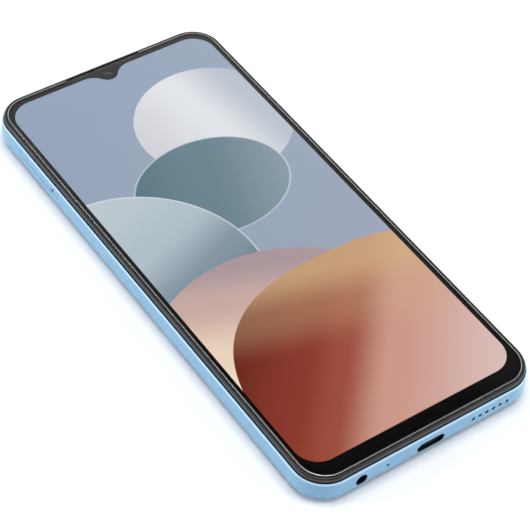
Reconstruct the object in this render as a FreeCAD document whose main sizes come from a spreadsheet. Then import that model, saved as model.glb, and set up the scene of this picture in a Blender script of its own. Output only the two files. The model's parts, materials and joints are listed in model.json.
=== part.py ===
"""Smartphone: a waterdrop-notch display phone with a one-piece rear housing.

Frame: +X to the right seen from the screen, +Y to the top of the phone, +Z out of the screen.
The origin is under the middle of the phone, level with the lowest point of the camera rings.
All sizes are millimetres and live in the spreadsheet "Dims".
"""
import FreeCAD, Part
import math
import os
import re
import Sketcher

OUTPUT_FOLDER = "parts"
TINY = 1e-4

doc = FreeCAD.newDocument("Smartphone")
sheet = doc.addObject("Spreadsheet::Sheet", "Dims")
sub_parts = []
aliases = []


# ---------------------------------------------------------------- dimensions

def dims(**values):
    """Write each value as a named cell of the sheet."""
    for name, number in values.items():
        row = len(aliases) + 1
        sheet.set("A%d" % row, name)
        sheet.set("B%d" % row, repr(float(number)))
        sheet.setAlias("B%d" % row, name)
        aliases.append(name)


def link(text):
    """Turn 'body_width / 2' into an expression on the sheet."""
    return re.sub(r"[a-z][a-z_0-9]*", lambda word: "Dims." + word.group(0), str(text))


def value(text):
    return float(sheet.evalExpression(link(text)))


dims(body_width=75.0, body_length=163.7, body_corner=9.5,
     back_level=0.9, floor_level=1.8, rebate_level=7.0, lip_level=7.8,
     web_low=6.7, web_high=7.2, ledge_level=8.6, glass_low=8.8, rim_level=9.35, glass_level=9.5,
     wall=1.2, back_round=2.0, lip_round=0.57, lip_inset=0.60, floor_round=0.3,
     frame_inset=1.25, skirt_inset=2.10, skirt_low=2.45,
     rim_inset=0.68, rim_round=0.60, recess_inset=1.50, ledge_inset=2.50,
     glass_inset=1.58, glass_round=0.45,
     panel_width=69.6, panel_length=157.1, panel_y=0.28, panel_corner=7.7,
     front_lens_y=77.0, notch_width=5.8,
     ear_slot_width=25.0, ear_slot_y=79.91, ear_slot_height=0.62,
     jack_x=-22.2, jack_z=4.15, jack_radius=1.8,
     microphone_x=-13.8, microphone_z=4.4, microphone_hole=0.5,
     usb_x=0.3, usb_z=3.95, usb_width=8.94, usb_height=3.16, usb_wall=0.3,
     speaker_x=20.2, speaker_z=4.45, speaker_hole=0.6, speaker_pitch=2.29, speaker_holes=6,
     tray_y=53.5, tray_z=5.8, tray_length=21.0, tray_height=2.1, tray_gap=0.08,
     pin_y=46.0, pin_z=5.75, pin_hole=0.5,
     button_z=5.05, button_height=2.2, button_gap=0.1, button_out=0.4,
     power_y=13.0, power_length=11.0, rocker_y=42.0, rocker_length=22.0, rocker_reach=8.5,
     island_x=22.0, island_y=59.5, island_width=23.0, island_length=34.0, island_corner=6.5,
     island_low=0.25, ring_width=1.0,
     lens_x=26.6, main_lens_y=68.4, wide_lens_y=57.4, macro_lens_y=48.2,
     lens_window=3.85, macro_window=2.5, flash_x=16.3, flash_window_radius=2.3,
     board_low=3.9, board_high=4.7, sub_low=5.55, sub_high=6.35,
     screw_head=1.25, screw_shank=0.70, screw_head_height=0.6, screw_length=3.7, boss=1.8,
     cover_low=1.85, upper_head=1.9, lower_head=2.65, cover_boss=2.0,
     panel_low=8.0, guide_low=7.52, guide_high=7.98, tray_floor=7.33,
     flex_end=78.29, flex_back=78.85,
     card_y=55.4, card_bed=6.25, card_plate=5.35, contact_low=5.15,
     reader_left=-34.5, reader_right=5.9, reader_low_y=44.7, reader_high_y=64.6, reader_top=6.55,
     lever_x=3.6, lever_y=54.3, lever_low=5.3, lever_thick=0.95,
     usb_back=73.4, usb_depth=6.6, usb_tongue_foot=0.62, usb_tongue_reach=4.45,
     motor_x=-28.9, motor_y=-60.6, motor_radius=4.0, rotor_radius=3.6,
     key_flange=35.2, key_switch=33.85, skirt_middle=1.6, skirt_cut=2.4,
     receiver_high=6.65, speaker_top=5.9, speaker_wall=0.8)


# Plates and boxes: middle, size, levels and corner radius. A text is an expression on the sheet.
BLOCKS = {
    "graphite_sheet": dict(x=0, y=0, width=60, length=118, corner=3, low="web_high", high="7.3"),
    "main_board": dict(x=-0.9, y=57.65, width=67.4, length=43.3, corner=6.5,
                       low="board_low", high="board_high"),
    "sub_board": dict(x=-12.7, y=-66.35, width=43.4, length=25.7, corner=6.0,
                      low="sub_low", high="sub_high"),
    "processor": dict(x=5.5, y=52, width=14, length=14, corner=0.3,
                      low="2.9", high="board_low"),
    "battery": dict(x=0, y=-8.5, width=64, length=83, corner=1.5, round=0.6,
                    low="1.95", high="6.5"),
    "audio_jack": dict(x="jack_x", y=-73.6, width=6.2, length=14.0, corner=0.4,
                       low="1.95", high="6.35"),
    "microphone": dict(x="microphone_x", y=-77.5, width=3.0, length=3.8, corner=0.2,
                       low="4.45", high="sub_low"),
    "speaker_box": dict(x=22.4, y=-68.15, width=24, length=22.3, corner=6.3,
                        low="2.0", high="speaker_top"),
    "speaker_lid": dict(x=22.4, y=-68.15, width=24, length=22.3, corner=6.3,
                        low="speaker_top", high="6.4"),
    "speaker_driver": dict(x=22.4, y=-66.5, width=15, length=11, corner=2.0,
                           low="2.65", high="5.4"),
    "earpiece_receiver": dict(x=10.5, y=76.1, width=12, length=6.6, corner=0.8,
                              low="board_high", high="receiver_high"),
    "earpiece_mesh": dict(x=0, y="ear_slot_y", width="ear_slot_width - 0.1",
                          length="ear_slot_height", corner=0.28, low="8.62", high="9.15"),
    "light_sensor": dict(x=-8, y=78.1, width=3, length=2.2, corner=0.2,
                         low="board_high", high="6.3"),
    "upper_cover": dict(x=-12.3, y=58.2, width=43.2, length=42.0, corner=5.5,
                        low="cover_low", high="2.35"),
    "lower_cover": dict(x=-4.0, y=-66.4, width=27.0, length=25.2, corner=2.5,
                        low="cover_low", high="2.3"),
}
dims(**{label + "_" + name: number for label, block_sizes in BLOCKS.items()
        for name, number in block_sizes.items() if not isinstance(number, str)})
doc.recompute()


# ---------------------------------------------------------------- sketches

def new_body(label):
    body = doc.addObject("PartDesign::Body", label)
    body.Label = label
    body.Placement = FreeCAD.Placement()
    return body


def sketch(body, level="0", plane="XY_Plane"):
    """An empty sketch on the body's own plane. XZ faces -Y and YZ faces +X, level is along that."""
    made = body.newObject("Sketcher::SketchObject", "Sketch")
    support = [item for item in body.Origin.OriginFeatures if item.Role == plane][0]
    made.AttachmentSupport = [(support, "")]
    made.MapMode = "FlatFace"
    made.setExpression("AttachmentOffset.Base.z", link(level))
    return made


def constrain(made, size, kind, *where):
    index = made.addConstraint(Sketcher.Constraint(kind, *where, value(size)))
    made.setExpression("Constraints[%d]" % index, link(size))


def place_point(made, geometry, point, x, y):
    constrain(made, x, "DistanceX", -1, 1, geometry, point)
    constrain(made, y, "DistanceY", -1, 1, geometry, point)


def polygon(made, points):
    """A closed outline through (x, y) expressions."""
    corners = [FreeCAD.Vector(value(x), value(y), 0) for x, y in points]
    first = made.GeometryCount
    count = len(corners)
    for index in range(count):
        made.addGeometry(Part.LineSegment(corners[index], corners[(index + 1) % count]), False)
    for index in range(count):
        following = first + (index + 1) % count
        made.addConstraint(Sketcher.Constraint("Coincident", first + index, 2, following, 1))
        place_point(made, first + index, 1, points[index][0], points[index][1])
    return made


def rectangle(made, x, y, width, height, corner=None):
    """An upright rectangle centred on (x, y), with round corners if a corner radius is given."""
    if corner is None:
        low_x, high_x = "%s - (%s)/2" % (x, width), "%s + (%s)/2" % (x, width)
        low_y, high_y = "%s - (%s)/2" % (y, height), "%s + (%s)/2" % (y, height)
        return polygon(made, [(low_x, low_y), (high_x, low_y), (high_x, high_y), (low_x, high_y)])
    half_x, half_y, radius = value(width) / 2, value(height) / 2, value(corner)
    middle = FreeCAD.Vector(value(x), value(y), 0)
    first = made.GeometryCount
    for side in range(4):
        turn = side * math.pi / 2
        along, across = (half_x, half_y) if side % 2 == 0 else (half_y, half_x)
        rotation = FreeCAD.Rotation(FreeCAD.Vector(0, 0, 1), math.degrees(turn))
        start = middle + rotation.multVec(FreeCAD.Vector(-along + radius, -across, 0))
        end = middle + rotation.multVec(FreeCAD.Vector(along - radius, -across, 0))
        centre = middle + rotation.multVec(FreeCAD.Vector(along - radius, -across + radius, 0))
        circle_shape = Part.Circle(centre, FreeCAD.Vector(0, 0, 1), radius)
        made.addGeometry(Part.LineSegment(start, end), False)
        made.addGeometry(Part.ArcOfCircle(circle_shape, turn - math.pi / 2, turn), False)
    for side in range(4):
        line, arc, next_line = first + 2 * side, first + 2 * side + 1, first + (2 * side + 2) % 8
        made.addConstraint(Sketcher.Constraint("Tangent", line, 2, arc, 1))
        made.addConstraint(Sketcher.Constraint("Tangent", arc, 2, next_line, 1))
        made.addConstraint(Sketcher.Constraint("Horizontal" if side % 2 == 0 else "Vertical", line))
        if side:
            made.addConstraint(Sketcher.Constraint("Equal", first + 1, arc))
    constrain(made, corner, "Radius", first + 1)
    constrain(made, "%s - (%s)/2" % (y, height), "DistanceY", -1, 1, first, 1)
    constrain(made, "%s + (%s)/2" % (x, width), "DistanceX", -1, 1, first + 2, 1)
    constrain(made, "%s + (%s)/2" % (y, height), "DistanceY", -1, 1, first + 4, 1)
    constrain(made, "%s - (%s)/2" % (x, width), "DistanceX", -1, 1, first + 6, 1)
    return made


def circle(made, x, y, radius):
    index = made.GeometryCount
    centre = FreeCAD.Vector(value(x), value(y), 0)
    made.addGeometry(Part.Circle(centre, FreeCAD.Vector(0, 0, 1), value(radius)), False)
    constrain(made, radius, "Radius", index)
    place_point(made, index, 3, x, y)
    return made


def stadium(made, x, y, width, height):
    """A flat slot with fully round ends."""
    radius, half = value(height) / 2, (value(width) - value(height)) / 2
    middle = FreeCAD.Vector(value(x), value(y), 0)
    first = made.GeometryCount
    step, rise = FreeCAD.Vector(half, 0, 0), FreeCAD.Vector(0, radius, 0)
    axis = FreeCAD.Vector(0, 0, 1)
    quarter = math.pi / 2
    made.addGeometry(Part.LineSegment(middle - step - rise, middle + step - rise), False)
    right, left = Part.Circle(middle + step, axis, radius), Part.Circle(middle - step, axis, radius)
    made.addGeometry(Part.ArcOfCircle(right, -quarter, quarter), False)
    made.addGeometry(Part.LineSegment(middle + step + rise, middle - step + rise), False)
    made.addGeometry(Part.ArcOfCircle(left, quarter, 3 * quarter), False)
    for index in range(4):
        made.addConstraint(
            Sketcher.Constraint("Tangent", first + index, 2, first + (index + 1) % 4, 1))
    made.addConstraint(Sketcher.Constraint("Horizontal", first))
    constrain(made, "(%s)/2" % height, "Radius", first + 1)
    place_point(made, first + 1, 3, "%s + (%s - (%s))/2" % (x, width, height), y)
    constrain(made, "%s - (%s - (%s))/2" % (x, width, height), "DistanceX", -1, 1, first + 3, 3)
    return made


def outline(made, inset):
    """The phone's own outline, moved inwards by inset."""
    return rectangle(made, "0", "0", "body_width - 2*(%s)" % inset,
                     "body_length - 2*(%s)" % inset, "body_corner - (%s)" % inset)


# ---------------------------------------------------------------- features

def extrude(body, made, kind, length, symmetric, reverse):
    feature = body.newObject(kind, kind.split("::")[1])
    feature.Profile = made
    feature.setExpression("Length", link(length))
    feature.Reversed = reverse
    if symmetric:
        feature.SideType = "Symmetric"
    made.Visibility = False
    before = body.Shape.Volume if not body.Shape.isNull() else 0.0
    body.Tip = feature
    doc.recompute()
    if abs(body.Shape.Volume - before) < TINY:
        raise RuntimeError("%s changes nothing in %s" % (feature.Name, body.Label))
    return feature


def pad(body, made, length, symmetric=False, reverse=False):
    return extrude(body, made, "PartDesign::Pad", length, symmetric, reverse)


def pocket(body, made, length, symmetric=False, reverse=False):
    return extrude(body, made, "PartDesign::Pocket", length, symmetric, reverse)


def round_edges(body, chooser, radius, kind="PartDesign::Fillet"):
    base = body.Tip
    chosen = ["Edge%d" % (index + 1) for index, edge in enumerate(base.Shape.Edges) if chooser(edge)]
    if not chosen:
        raise RuntimeError("no edge to round in " + body.Label)
    feature = body.newObject(kind, kind.split("::")[1])
    feature.Base = (base, chosen)
    feature.setExpression("Radius" if kind.endswith("Fillet") else "Size", link(radius))
    body.Tip = feature
    doc.recompute()
    return feature


def at_height(level):
    height = value(level)
    return lambda edge: all(abs(vertex.Z - height) < TINY for vertex in edge.Vertexes)


def keep(item, label=None):
    if label:
        item.Label = label
    sub_parts.append(item)
    return item


def block(label):
    """A plate or box of the BLOCKS table, with round upright corners and, if stated, round faces."""
    size = {}
    for name, number in BLOCKS[label].items():
        size[name] = number if isinstance(number, str) else label + "_" + name
    body = new_body(label)
    face = rectangle(sketch(body, size["low"]), size["x"], size["y"], size["width"],
                     size["length"], size["corner"])
    pad(body, face, "%s - (%s)" % (size["high"], size["low"]))
    if "round" in size:
        low, high = at_height(size["low"]), at_height(size["high"])
        round_edges(body, lambda edge: low(edge) or high(edge), size["round"])
    return body


# ---------------------------------------------------------------- primitives and booleans

def place(item, x, y, z, axis="Z"):
    turns = {"Z": FreeCAD.Rotation(),
             "X": FreeCAD.Rotation(FreeCAD.Vector(0, 1, 0), 90),
             "Y": FreeCAD.Rotation(FreeCAD.Vector(1, 0, 0), -90)}
    item.Placement = FreeCAD.Placement(FreeCAD.Vector(), turns[axis])
    for name, size in zip("xyz", (x, y, z)):
        item.setExpression("Placement.Base." + name, link(size))
    return item


def box(x_range, y_range, z_range):
    """A Part::Box between pairs of expressions."""
    item = doc.addObject("Part::Box", "Box")
    for name, (low, high) in zip(("Length", "Width", "Height"), (x_range, y_range, z_range)):
        item.setExpression(name, link("%s - (%s)" % (high, low)))
    return place(item, x_range[0], y_range[0], z_range[0])


def rod(x, y, z, radius, length, axis="Z"):
    item = doc.addObject("Part::Cylinder", "Cylinder")
    item.setExpression("Radius", link(radius))
    item.setExpression("Height", link(length))
    return place(item, x, y, z, axis)


def joined(items):
    if len(items) == 1:
        return items[0]
    item = doc.addObject("Part::MultiFuse", "Fusion")
    item.Shapes = items
    return item


def cut(base, tools):
    item = doc.addObject("Part::Cut", "Cut")
    item.Base = base
    item.Tool = joined(tools)
    return item


def group(items):
    item = doc.addObject("Part::Compound", "Group")
    item.Links = items
    return item


def around(middle, half):
    """The pair of expressions half to each side of the middle."""
    return "%s - (%s)" % (middle, half), "%s + %s" % (middle, half)


# ---------------------------------------------------------------- outer shell

def speaker_positions():
    count = int(value("speaker_holes"))
    return ["speaker_x + speaker_pitch*%s" % (index - (count - 1) / 2) for index in range(count)]


def rear_housing():
    """One light shell: the back and the four side walls, with the ports cut in its walls."""
    body = new_body("rear_housing")
    pad(body, outline(sketch(body, "back_level"), "0"), "lip_level - back_level")
    round_edges(body, at_height("back_level"), "back_round")
    round_edges(body, at_height("lip_level"), "lip_round")
    pocket(body, outline(sketch(body, "lip_level"), "wall"), "lip_level - floor_level")
    round_edges(body, at_height("floor_level"), "floor_round")
    pocket(body, outline(sketch(body, "lip_level"), "lip_inset"), "lip_level - rebate_level")
    plug = sketch(body, "floor_level")
    rectangle(plug, "island_x", "island_y", "island_width - 2.4", "island_length - 2.4",
              "island_corner - 1.2")
    pocket(body, plug, "floor_level - back_level + 0.5")
    ports = sketch(body, "body_length/2 - wall/2", "XZ_Plane")
    circle(ports, "jack_x", "jack_z", "jack_radius + 0.03")
    circle(ports, "microphone_x", "microphone_z", "microphone_hole")
    stadium(ports, "usb_x", "usb_z", "usb_width", "usb_height")
    for place_x in speaker_positions():
        circle(ports, place_x, "speaker_z", "speaker_hole")
    pocket(body, ports, "3*wall", symmetric=True)
    tray = sketch(body, "-(body_width/2 - wall/2)", "YZ_Plane")
    rectangle(tray, "tray_y", "tray_z", "tray_length + 2*tray_gap", "tray_height + 2*tray_gap", "0.5")
    pocket(body, tray, "3*wall", symmetric=True)
    keys = sketch(body, "body_width/2 - wall/2", "YZ_Plane")
    for middle, length in (("power_y", "power_length"), ("rocker_y", "rocker_length")):
        rectangle(keys, middle, "button_z", length + " + 2*button_gap",
                  "button_height + 2*button_gap", "0.7")
    pocket(body, keys, "3*wall", symmetric=True)
    keep(body)


def camera_island():
    """The raised plate on the back, with three lens rings and the flash opening."""
    body = new_body("camera_island")
    plate = sketch(body, "island_low")
    rectangle(plate, "island_x", "island_y", "island_width", "island_length", "island_corner")
    pad(body, plate, "back_level - island_low")
    round_edges(body, at_height("island_low"), "0.4")
    rings = sketch(body, "0")
    for lens_y, window in lens_places():
        circle(rings, "lens_x", lens_y, window + " + ring_width")
    pad(body, rings, "island_low + 0.2")
    plug = sketch(body, "back_level")
    rectangle(plug, "island_x", "island_y", "island_width - 2.6", "island_length - 2.6",
              "island_corner - 1.3")
    pad(body, plug, "floor_level - back_level")
    seats = sketch(body, "0")
    for lens_y, window in lens_places():
        circle(seats, "lens_x", lens_y, window + " + 0.05")
    circle(seats, "flash_x", "main_lens_y", "flash_window_radius + 0.05")
    pocket(body, seats, "0.6", reverse=True)
    bores = sketch(body, "0")
    for lens_y, window in lens_places():
        circle(bores, "lens_x", lens_y, window + " - 0.35")
    circle(bores, "flash_x", "main_lens_y", "flash_window_radius - 0.4")
    circle(bores, "flash_x", "main_lens_y - 6.5", "0.4")
    pocket(body, bores, "floor_level + 0.2", reverse=True)
    keep(body)


def lens_places():
    return (("main_lens_y", "lens_window"), ("wide_lens_y", "lens_window"),
            ("macro_lens_y", "macro_window"))


def lens_windows():
    discs = [rod("lens_x", lens_y, "0.12", window, "0.45") for lens_y, window in lens_places()]
    keep(group(discs), "lens_windows")


def flash_window():
    keep(rod("flash_x", "main_lens_y", "0.3", "flash_window_radius", "0.29"), "flash_window")


def mid_frame():
    """The black chassis: rim round the glass, ledge under it, web, skirt and screw bosses."""
    body = new_body("mid_frame")
    pad(body, outline(sketch(body, "rebate_level + 0.05"), "rim_inset"),
        "rim_level - rebate_level - 0.05")
    round_edges(body, at_height("rim_level"), "rim_round")
    pad(body, outline(sketch(body, "skirt_low"), "frame_inset"), "rebate_level + 0.05 - skirt_low")
    pocket(body, outline(sketch(body, "rim_level"), "recess_inset"), "rim_level - ledge_level")
    pocket(body, outline(sketch(body, "ledge_level"), "ledge_inset"), "ledge_level - web_high")
    pocket(body, outline(sketch(body, "skirt_low"), "skirt_inset"), "web_low - skirt_low",
           reverse=True)
    for (x, y), low in screw_places():
        bosses = circle(sketch(body, low), x, y, "boss")
        pad(body, bosses, "web_low - (%s) + 0.1" % low)
    holes = sketch(body, "web_high - 0.15")
    for (x, y), low in screw_places():
        circle(holes, x, y, "screw_shank + 0.05")
    pocket(body, holes, "web_high - board_high")
    frame_windows(body)
    skirt_openings(body)
    keep(body)


def frame_windows(body):
    """Openings through the web: front lens, sound channel, sensor and the display's flex."""
    windows = sketch(body, "ledge_level")
    rectangle(windows, "0", "front_lens_y + 0.4", "notch_width + 0.2", "notch_width + 0.2", "2.6")
    rectangle(windows, "8", "79.5", "9", "1.0")
    rectangle(windows, "-8", "79.5", "2.4", "1.0")
    rectangle(windows, "0", "-78.85", "21.2", "0.7")
    pocket(body, windows, "ledge_level - web_low + 0.2")


def skirt_openings(body):
    """Openings in the skirt for the ports, the speaker, the card tray and the keys."""
    low, high = "skirt_low - 1", "web_low"
    middle, height = "(%s + %s)/2" % (low, high), "%s - (%s)" % (high, low)
    bottom = sketch(body, "body_length/2 - skirt_middle", "XZ_Plane")
    rectangle(bottom, "jack_x", middle, "6.5", height)
    rectangle(bottom, "microphone_x", middle, "3.4", height)
    rectangle(bottom, "usb_x", middle, "usb_width + 0.3", height)
    rectangle(bottom, "speaker_x", middle, "14.4", height)
    pocket(body, bottom, "skirt_cut", symmetric=True)
    left = sketch(body, "-(body_width/2 - skirt_middle)", "YZ_Plane")
    rectangle(left, "tray_y", "(4.4 + web_low)/2", "tray_length + 1", "web_low - 4.4")
    pocket(body, left, "skirt_cut", symmetric=True)
    right = sketch(body, "body_width/2 - skirt_middle", "YZ_Plane")
    rectangle(right, "power_y", "(3.2 + web_low)/2", "power_length + 3.2", "web_low - 3.2")
    rectangle(right, "rocker_y", "(3.2 + web_low)/2", "rocker_length + 3.6", "web_low - 3.2")
    pocket(body, right, "skirt_cut", symmetric=True)


# ---------------------------------------------------------------- display

def panel_outline(made, inset):
    return rectangle(made, "0", "panel_y", "panel_width - 2*(%s)" % inset,
                     "panel_length - 2*(%s)" % inset, "panel_corner - (%s)" % inset)


def notch(made, grow):
    """The space round the front lens, open towards the top edge."""
    width = "notch_width + 2*(%s)" % grow
    return rectangle(made, "0", "front_lens_y + 1.1", width, "8 + 2*(%s)" % grow, "2.8")


def panel_layer(label, low, high, inset, grow):
    body = new_body(label)
    pad(body, panel_outline(sketch(body, low), inset), "%s - (%s)" % (high, low))
    pocket(body, notch(sketch(body, high), grow), "%s - (%s) + 0.2" % (high, low))
    return body


def cover_glass():
    body = new_body("cover_glass")
    pad(body, outline(sketch(body, "glass_low"), "glass_inset"), "glass_level - glass_low")
    round_edges(body, at_height("glass_level"), "glass_round")
    slot = sketch(body, "glass_level + 0.1")
    rectangle(slot, "0", "ear_slot_y + 0.75", "ear_slot_width + 0.2", "ear_slot_height + 1.6", "0.3")
    pocket(body, slot, "glass_level - glass_low + 0.3")
    keep(body)


def display_adhesive():
    body = new_body("display_adhesive")
    pad(body, outline(sketch(body, "ledge_level"), "glass_inset + 0.12"), "glass_low - ledge_level")
    pocket(body, outline(sketch(body, "glass_low"), "ledge_inset - 0.05"),
           "glass_low - ledge_level + 0.1")
    slot = sketch(body, "glass_low")
    rectangle(slot, "0", "ear_slot_y", "ear_slot_width + 1", "3")
    pocket(body, slot, "glass_low - ledge_level + 0.1")
    keep(body)


def display_stack():
    keep(panel_layer("lcd_cell", "panel_low", "glass_low", "0", "0"))
    keep(panel_layer("light_guide", "guide_low", "guide_high", "0.3", "0.3"))
    tray = panel_layer("backlight_tray", "tray_floor", "panel_low", "0", "0")
    inner = panel_outline(sketch(tray, "panel_low"), "0.2")
    pocket(tray, inner, "0.5")
    keep(tray)
    keep(block("graphite_sheet"))


def display_flex():
    """Flat cable from the panel's lower edge, down past the web to the lower board."""
    body = new_body("display_flex")
    side = sketch(body, "0", "YZ_Plane")
    film, end, back, inner, low, high = "0.1", "-flex_end", "-flex_back", "-73.6", "6.4", "8.4"
    polygon(side, [(end, high), (end, high + " - " + film), (back + " + " + film, high + " - " + film),
                   (back + " + " + film, low + " + " + film), (inner, low + " + " + film),
                   (inner, low), (back, low), (back, high)])
    pad(body, side, "20", symmetric=True)
    keep(body)


# ---------------------------------------------------------------- boards

def screw_places():
    """(x, y) of each screw with the level its boss comes down to."""
    upper = [("-28", "39.8"), ("7", "39.8"), ("-31", "70"), ("4.5", "68.5")]
    lower = [("-15", "-57"), ("7.2", "-57"), ("7.2", "-70"), ("-8.5", "-70")]
    return [(spot, "board_high") for spot in upper] + [(spot, "sub_high") for spot in lower]


def screw_base(low):
    """Underside of the screw's head, for a boss that comes down to low."""
    return "upper_head" if low == "board_high" else "lower_head"


def board_holes(body, level, high, low_level):
    holes = sketch(body, high)
    for (x, y), low in screw_places():
        if low == level:
            circle(holes, x, y, "screw_shank + 0.15")
    pocket(body, holes, "%s - (%s) + 0.2" % (high, low_level))


def main_board():
    body = block("main_board")
    window = sketch(body, "board_high")
    rectangle(window, "27.6", "59.5", "13.4", "32")
    pocket(body, window, "board_high - board_low + 0.2")
    board_holes(body, "board_high", "board_high", "board_low")
    keep(body)


def sub_board():
    body = block("sub_board")
    window = sketch(body, "sub_high")
    rectangle(window, "jack_x", "-73.5", "6.8", "14.6")
    pocket(body, window, "sub_high - sub_low + 0.2")
    board_holes(body, "sub_high", "sub_high", "sub_low")
    keep(body)


def shield_can(x, y, width, length, low, high, open_up):
    """A pressed steel box 0.2 thick, open towards its board."""
    half_x, half_y = "%s/2" % width, "%s/2" % length
    skin = "0.2"
    outer = box(around(x, half_x), around(y, half_y), (low, high))
    inside = (low + " + " + skin, high + " + 1") if open_up else (low + " - 1", high + " - " + skin)
    inner = box(around(x, half_x + " - " + skin), around(y, half_y + " - " + skin), inside)
    return cut(outer, [inner])


def shields():
    cans = [shield_can("-19", "52.5", "20", "19", "2.4", "board_low", True),
            shield_can("5.5", "52", "21", "18", "2.4", "board_low", True),
            shield_can("13.2", "54", "13", "24", "board_high", "6.2", False)]
    keep(group(cans), "shield_cans")


def chips():
    keep(block("processor"))
    parts = [box(("-26", "-14.5"), ("46", "59"), ("2.9", "board_low")),
             box(("8.5", "17.5"), ("57", "64.5"), ("board_high", "5.6")),
             box(("9", "15"), ("44", "50"), ("board_high", "5.5"))]
    keep(group(parts), "board_chips")


def battery():
    keep(block("battery"))
    strip = box(("13", "19"), ("33.01", "40"), ("5.7", "5.9"))
    plug = box(("12", "20"), ("37", "40"), ("board_high", "5.75"))
    keep(joined([strip, plug]), "battery_flex")


def link_flex():
    """Flat cable over the battery that joins the two boards, with a plug at each end."""
    strip = box(("-5", "5"), ("-56", "39"), ("6.52", "6.64"))
    upper = box(("-4", "4"), ("36.6", "39"), ("board_high", "6.55"))
    lower = box(("-4", "4"), ("-56", "-53.8"), ("sub_high", "6.55"))
    keep(joined([strip, upper, lower]), "link_flex")


def coax_cable():
    """Thin aerial lead beside the battery: straight, with a gentle bend into each plug."""
    bend, turn = 2.3, math.radians(45.9)
    shift, reach = 2 * bend * (1 - math.cos(turn)), 2 * bend * math.sin(turn)
    side, level, start, end = -33.6, 5.0, -50.4, 33.4
    inner = side + shift
    points = [(inner, start - reach - 0.3), (inner, start - reach), (side, start), (side, end),
              (inner, end + reach), (inner, end + reach + 0.3)]
    vectors = [FreeCAD.Vector(x, y, level) for x, y in points]
    edges = [Part.LineSegment(vectors[0], vectors[1]).toShape()]
    edges += s_bend(vectors[1], vectors[2], bend, turn, -1)
    edges.append(Part.LineSegment(vectors[2], vectors[3]).toShape())
    edges += s_bend(vectors[3], vectors[4], bend, turn, 1)
    edges.append(Part.LineSegment(vectors[4], vectors[5]).toShape())
    path = doc.addObject("Part::Feature", "CoaxRoute")
    path.Shape = Part.Wire(edges)
    ring = doc.addObject("Part::Circle", "CoaxRing")
    ring.Radius = 0.4
    ring.Placement = FreeCAD.Placement(vectors[0], FreeCAD.Rotation(FreeCAD.Vector(1, 0, 0), -90))
    tube = doc.addObject("Part::Sweep", "CoaxTube")
    tube.Sections = [ring]
    tube.Spine = (path, ["Edge%d" % (index + 1) for index in range(len(edges))])
    tube.Solid = True
    plugs = [box(("-33.2", "-31.2"), ("37.0", "39.0"), ("board_high", "5.4")),
             box(("-33.2", "-31.2"), ("-56.0", "-54.0"), ("4.6", "sub_low"))]
    keep(joined([tube] + plugs), "coax_cable")


def s_bend(start, end, radius, turn, side):
    """Two equal arcs that shift a route along +Y sideways, tangent to Y at both ends."""
    half_way = (start + end) * 0.5
    edges = []
    for origin, hand, other in ((start, side, half_way), (end, -side, half_way)):
        centre = origin + FreeCAD.Vector(hand * radius, 0, 0)
        angle = turn / 2
        reach = math.copysign(1, other.y - origin.y)
        middle = centre + FreeCAD.Vector(-hand * radius * math.cos(angle),
                                         reach * radius * math.sin(angle), 0)
        if origin is start:
            edges.append(Part.Arc(origin, middle, other).toShape())
        else:
            edges.append(Part.Arc(other, middle, origin).toShape())
    return edges


# ---------------------------------------------------------------- ports and sound

def usb_port():
    body = new_body("usb_c_shell")
    pad(body, stadium(sketch(body, "usb_back", "XZ_Plane"), "usb_x", "usb_z", "usb_width", "usb_height"),
        "body_length/2 - wall - 0.03 - usb_back")
    opening = sketch(body, "body_length/2 - wall - 0.03", "XZ_Plane")
    stadium(opening, "usb_x", "usb_z", "usb_width - 2*usb_wall", "usb_height - 2*usb_wall")
    pocket(body, opening, "usb_depth")
    tail = circle(sketch(body, "usb_back", "XZ_Plane"), "usb_x", "usb_z", "0.8")
    pocket(body, tail, "1", reverse=True)
    keep(body)
    tongue = new_body("usb_c_tongue")
    foot = sketch(tongue, "usb_back + usb_tongue_foot", "XZ_Plane")
    stadium(foot, "usb_x", "usb_z", "usb_width - 2*usb_wall - 0.04",
            "usb_height - 2*usb_wall - 0.04")
    pad(tongue, foot, "1.2")
    blade = sketch(tongue, "usb_back + usb_tongue_foot + 1.2", "XZ_Plane")
    rectangle(blade, "usb_x", "usb_z", "6.69", "0.7", "0.2")
    pad(tongue, blade, "usb_tongue_reach")
    keep(tongue)


def audio_jack():
    body = block("audio_jack")
    bore = circle(sketch(body, "body_length/2", "XZ_Plane"), "jack_x", "jack_z", "jack_radius")
    pocket(body, bore, "14.85")
    keep(body)
    tabs = []
    for side in (-1, 1):
        for spot in ("-69.5", "-75"):
            middle = "jack_x + %s" % (side * 3.6)
            tabs.append(box(around(middle, "0.45"), around(spot, "0.9"), ("5.2", "sub_low")))
    keep(group(tabs), "audio_jack_contacts")


def microphone():
    keep(block("microphone"))
    outer = box(around("microphone_x", "1.4"), ("-80.62", "-79.43"), ("3.5", "5.4"))
    bore = rod("microphone_x", "-81", "microphone_z", "microphone_hole", "2", "Y")
    keep(cut(outer, [bore]), "microphone_boot")


def speaker():
    body = block("speaker_box")
    room = sketch(body, "speaker_top")
    rectangle(room, "speaker_box_x", "speaker_box_y", "speaker_box_width - 2*speaker_wall",
              "speaker_box_length - 2*speaker_wall", "speaker_box_corner - speaker_wall")
    pocket(body, room, "3.3")
    mouth = rectangle(sketch(body, "79.0", "XZ_Plane"), "speaker_x", "speaker_z", "12.6", "1.7", "0.6")
    pocket(body, mouth, "2.4", symmetric=True)
    keep(body)
    keep(block("speaker_lid"))
    driver = block("speaker_driver")
    cone = rectangle(sketch(driver, "5.4"), "speaker_driver_x", "speaker_driver_y", "12.6", "8.6", "1.6")
    pocket(driver, cone, "0.35")
    keep(driver)
    keep(box(around("speaker_x", "6.7"), ("-80.58", "-80.33"), ("3.55", "5.35")), "speaker_mesh")


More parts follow.
